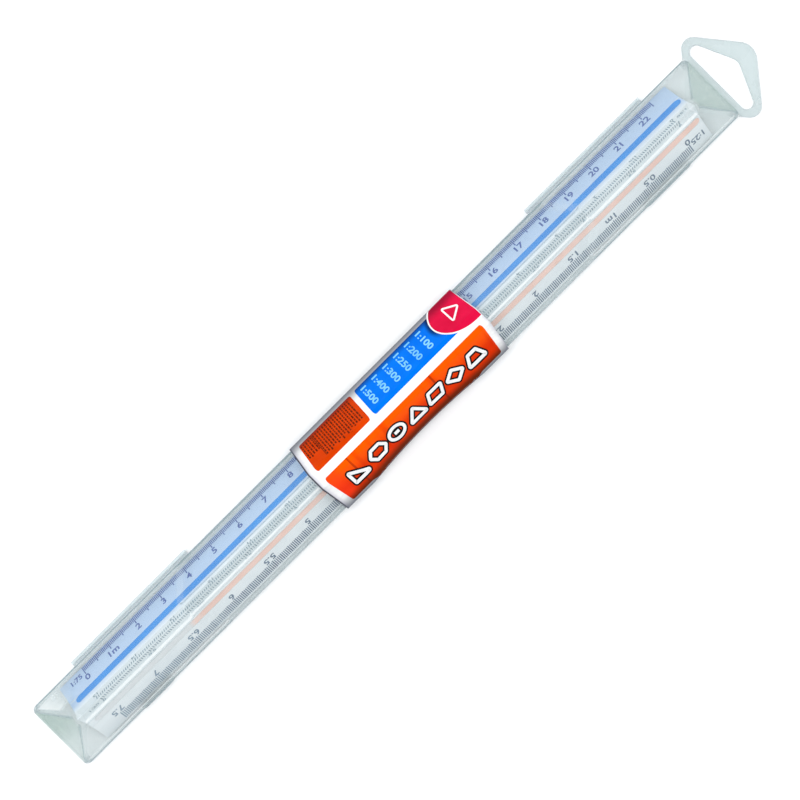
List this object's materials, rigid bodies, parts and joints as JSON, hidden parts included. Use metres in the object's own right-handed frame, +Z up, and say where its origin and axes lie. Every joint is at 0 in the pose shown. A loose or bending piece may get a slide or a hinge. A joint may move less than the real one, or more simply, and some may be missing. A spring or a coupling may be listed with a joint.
{
  "type": "triangular scale ruler in a hinged case",
  "caption": "Fluted triangular scale ruler inside a translucent hinged triangular case with a hanger loop and a printed label.",
  "frame": {"origin": "middle of the whole length (case and hanger loop) on the plane that the case's base lid rests on", "axes": "+X along the length towards the hanger loop, +Y towards the living hinge, +Z up through the ridge"},
  "size_m": [0.3664, 0.0392, 0.0261],
  "materials": {
    "case_plastic": "translucent polypropylene, satin gloss",
    "label_print": "printed film, satin gloss",
    "ruler_plastic": "satin white polystyrene",
    "strip_blue": "satin blue",
    "strip_orange": "satin orange",
    "strip_green": "satin green"
  },
  "bodies": {
    "base": {"base_lid": "case_plastic", "hinge_film_left": "case_plastic", "hinge_film_right": "case_plastic"},
    "tray": {"roof_tray": "case_plastic", "wrap_label": "label_print"},
    "ruler": {"ruler_body": "ruler_plastic", "strip_blue": "strip_blue", "strip_orange": "strip_orange", "strip_green": "strip_green"}
  },
  "joints": [
    {"name": "case_hinge", "type": "hinge", "parent": "base", "child": "tray", "pos_m": [-0.0105, 0.0166, 0.00115], "axis": [-1, 0, 0], "range_deg": [0, 118]},
    {"name": "ruler_end_play", "type": "slide", "parent": "tray", "child": "ruler", "axis": [1, 0, 0], "range_m": [-0.0007, 0.0007]}
  ]
}
